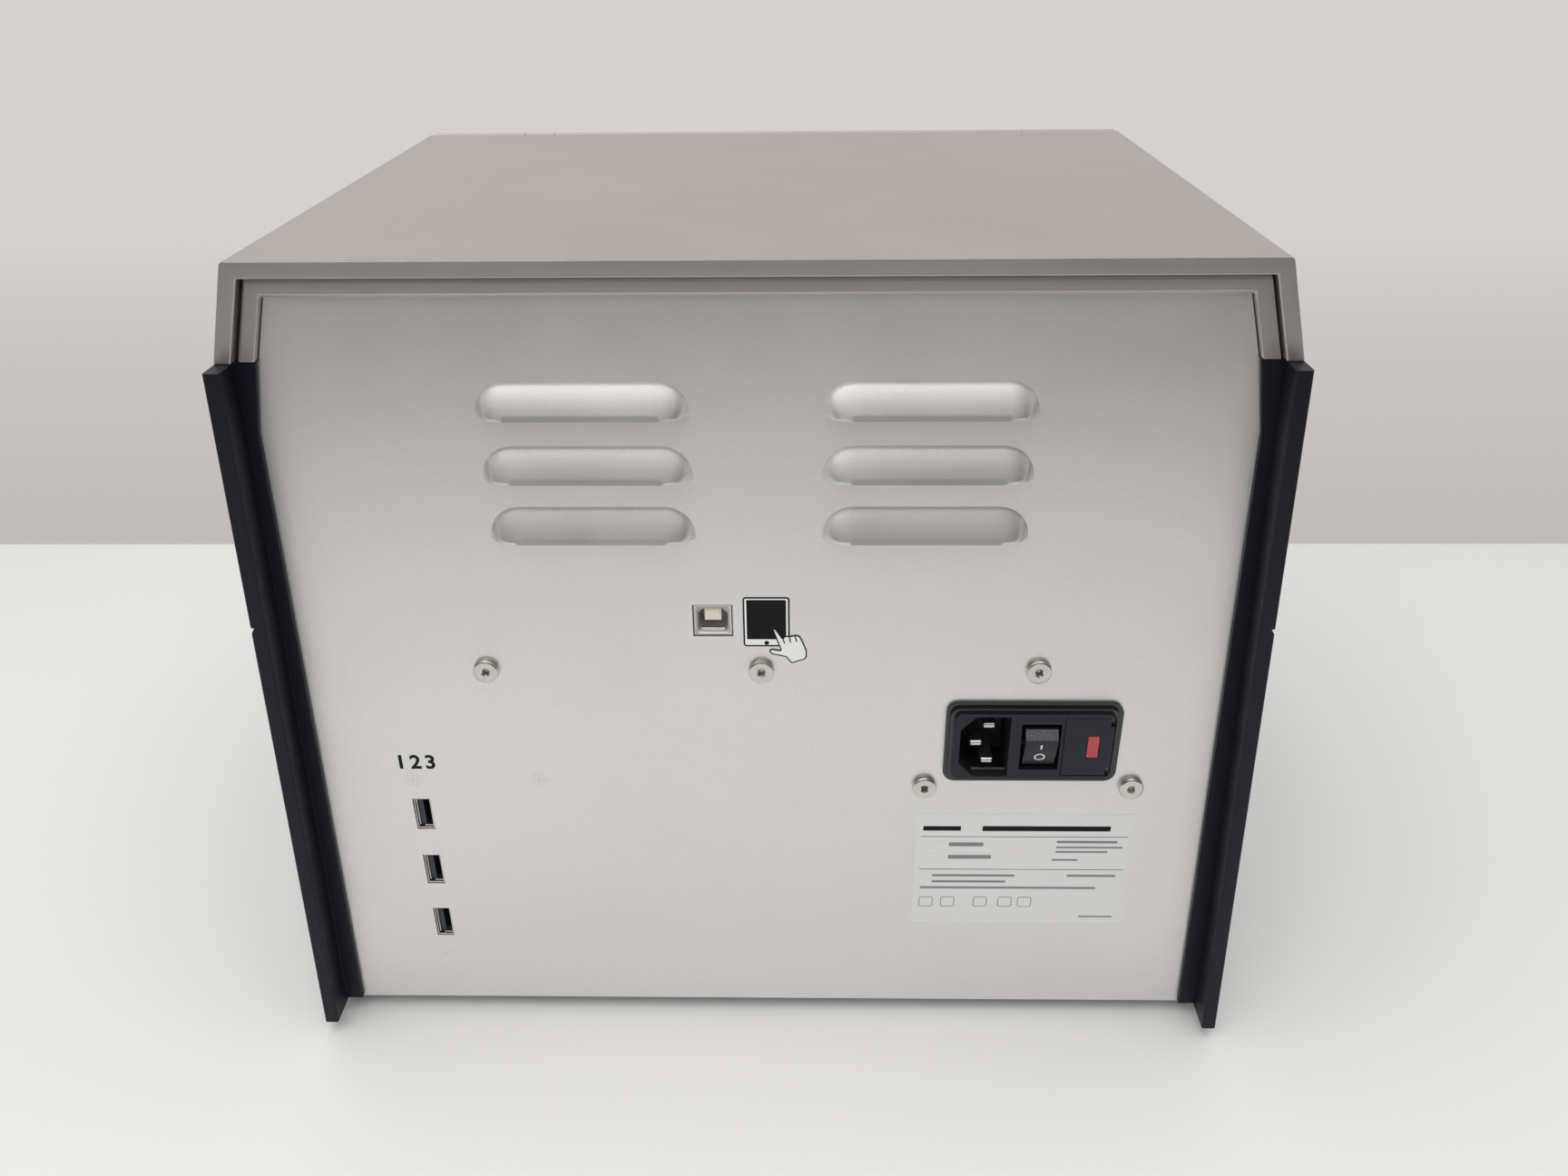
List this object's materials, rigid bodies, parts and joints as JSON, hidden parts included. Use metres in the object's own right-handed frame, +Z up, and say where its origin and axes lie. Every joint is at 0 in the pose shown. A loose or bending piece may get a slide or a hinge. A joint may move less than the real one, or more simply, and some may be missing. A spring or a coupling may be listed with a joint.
{
  "type": "nucleic acid extractor",
  "caption": "Bench instrument with sloped windowed door, louvred rear panel, ports and mains inlet; magnetic rod head and sliding deck inside.",
  "frame": {"origin": "middle of the footprint on the table, under the rubber feet", "axes": "+Z up, door faces -Y, connector side faces +Y, +X to the right seen from the door"},
  "size_m": [0.3284, 0.33, 0.2844],
  "materials": {
    "silver_cover": "fine metallic taupe paint on moulded plastic, satin",
    "bead_blast_panel": "bead blasted, clear anodised",
    "black_side": "satin black moulded plastic",
    "black_module": "moulded black",
    "dark_plastic": "fine moulded texture",
    "grey_plastic": "fine moulded texture",
    "white_plastic": "plain",
    "red_lens": "tinted, polished",
    "nickel_screw": "nickel plated",
    "supply_case": "folded aluminium case",
    "steel_sheet": "zinc plated sheet",
    "ground_steel": "ground and polished",
    "machined_aluminium": "fine milled, clear anodised",
    "magnet_nickel": "nickel plated magnet",
    "brass_nut": "turned brass",
    "board_green": "solder mask",
    "chip_black": "moulded",
    "foot_rubber": "matte",
    "smoked_window": "smoked acrylic, polished",
    "lamp_glass": "clear tube",
    "fuse_glass": "clear tube with end caps",
    "status_lens": "diffusing lens"
  },
  "bodies": {
    "root": {"left_side_panel": "black_side", "right_side_panel": "black_side", "top_cover": "silver_cover", "rear_frame": "silver_cover", "rear_panel": "bead_blast_panel", "panel_screws": "nickel_screw", "clinch_studs": "nickel_screw", "port_boards": "board_green", "port_shells": "dark_plastic", "port_tongues": "white_plastic", "bay_shelf": "steel_sheet", "control_board": "board_green", "board_parts": "chip_black", "power_supply": "supply_case", "supply_bracket": "steel_sheet", "inlet_housing": "black_module", "inlet_pins": "nickel_screw", "rubber_feet": "foot_rubber", "base_plate": "steel_sheet", "left_frame_plate": "steel_sheet", "right_frame_plate": "steel_sheet", "bulkhead": "steel_sheet", "front_panel": "black_side", "status_light": "status_lens", "door_magnet": "magnet_nickel", "fan_housing": "dark_plastic", "deck_rails": "ground_steel", "deck_motor": "chip_black", "screw_bearing": "machined_aluminium", "gantry_frame": "machined_aluminium", "guide_shafts": "ground_steel", "head_motor": "chip_black", "lamp_holders": "white_plastic", "sanitising_lamp": "lamp_glass", "hinge_brackets": "steel_sheet", "hinge_rod": "ground_steel"},
    "front_door": {"front_door": "silver_cover", "door_strike": "steel_sheet", "door_window": "smoked_window"},
    "power_rocker": {"power_rocker": "black_module"},
    "fuse_drawer": {"fuse_drawer": "black_module", "fuses": "fuse_glass", "fuse_lens": "red_lens"},
    "fan_rotor": {"fan_rotor": "dark_plastic"},
    "deck": {"deck_platform": "machined_aluminium", "rail_carriages": "ground_steel", "deck_nut": "brass_nut", "heater_blocks": "machined_aluminium"},
    "deck_screw": {"deck_lead_screw": "ground_steel"},
    "deck_tray": {"deck_tray": "grey_plastic"},
    "head": {"head_carriage": "machined_aluminium", "guide_bushings": "ground_steel", "head_nut": "brass_nut", "sleeve_holder": "machined_aluminium", "lift_guides": "ground_steel", "lift_motor": "chip_black"},
    "head_screw": {"head_lead_screw": "ground_steel"},
    "magnet_lift": {"magnet_bar": "machined_aluminium", "magnet_rods": "magnet_nickel"},
    "lift_screw": {"lift_screw": "ground_steel"}
  },
  "joints": [
    {"name": "door_hinge", "type": "hinge", "parent": "root", "child": "front_door", "pos_m": [0, -0.06078, 0.2814], "axis": [-1, 0, 0], "range_deg": [0, 80]},
    {"name": "rocker_pivot", "type": "hinge", "parent": "root", "child": "power_rocker", "pos_m": [-0.091, 0.15285, 0.1245], "axis": [1, 0, 0], "range_deg": [0, 20]},
    {"name": "fuse_drawer_slide", "type": "slide", "parent": "root", "child": "fuse_drawer", "axis": [0, 1, 0], "range_m": [0, 0.019]},
    {"name": "fan_spin", "type": "hinge", "parent": "root", "child": "fan_rotor", "pos_m": [0.0502, 0.14, 0.2235], "axis": [0, 1, 0], "continuous": true},
    {"name": "deck_slide", "type": "slide", "parent": "root", "child": "deck", "axis": [0, 1, 0], "range_m": [-0.015, 0.045]},
    {"name": "deck_screw_turn", "type": "hinge", "parent": "root", "child": "deck_screw", "pos_m": [0, 0, 0.029], "axis": [0, 1, 0], "range_deg": [-700, 2050]},
    {"name": "tray_lift", "type": "slide", "parent": "deck", "child": "deck_tray", "axis": [0, 0, 1], "range_m": [0, 0.03]},
    {"name": "head_slide", "type": "slide", "parent": "root", "child": "head", "axis": [0, 0, 1], "range_m": [-0.045, 0]},
    {"name": "head_screw_turn", "type": "hinge", "parent": "root", "child": "head_screw", "pos_m": [0, 0.018, 0.2], "axis": [0, 0, 1], "range_deg": [-2050, 10]},
    {"name": "magnet_slide", "type": "slide", "parent": "head", "child": "magnet_lift", "axis": [0, 0, 1], "range_m": [-0.045, 0]},
    {"name": "lift_screw_turn", "type": "hinge", "parent": "head", "child": "lift_screw", "pos_m": [0, -0.032, 0.2], "axis": [0, 0, 1], "range_deg": [-2100, 10]}
  ],
  "couplings": [
    {"joint": "deck_screw_turn", "follows": "deck_slide", "rad_per_m": 785.4},
    {"joint": "head_screw_turn", "follows": "head_slide", "rad_per_m": 785.4},
    {"joint": "lift_screw_turn", "follows": "magnet_slide", "rad_per_m": 785.4}
  ]
}
